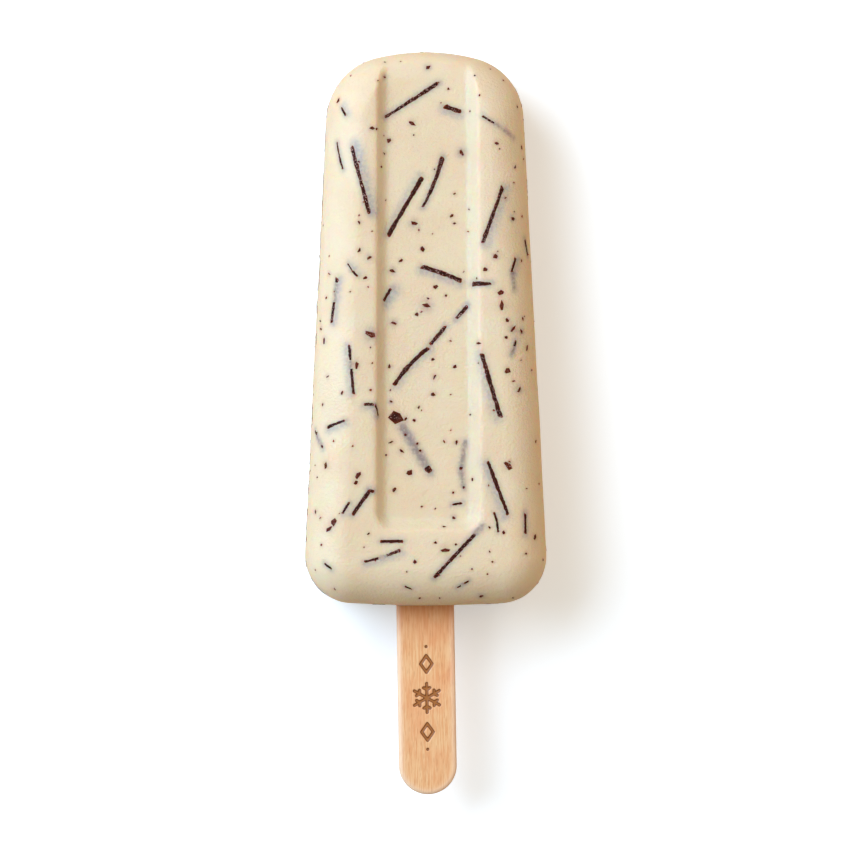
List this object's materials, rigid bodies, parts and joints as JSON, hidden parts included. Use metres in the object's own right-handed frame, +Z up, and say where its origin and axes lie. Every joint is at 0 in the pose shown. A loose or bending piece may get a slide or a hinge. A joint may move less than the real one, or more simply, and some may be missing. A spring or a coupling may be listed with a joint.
{
  "type": "ice cream bar",
  "caption": "Tapered gelato bar with rounded edges and a sunken panel on each broad face, flecked with dark chocolate slivers, on a flat wooden stick.",
  "frame": {"origin": "middle of the bounding box's bottom: halfway between the tip and the stick's free end, on the centre line, on the plane that the bar lies on", "axes": "+Y towards the bar's tip, with the stick at -Y; +Z up, out of the broad face that shows; +X to the right, seen from above with the tip up"},
  "size_m": [0.0416, 0.1288, 0.0246],
  "materials": {
    "gelato": "satin",
    "chocolate": "satin",
    "stick_wood": "matte"
  },
  "bodies": {
    "root": {"gelato_bar": "gelato", "wooden_stick": "stick_wood"}
  },
  "joints": []
}
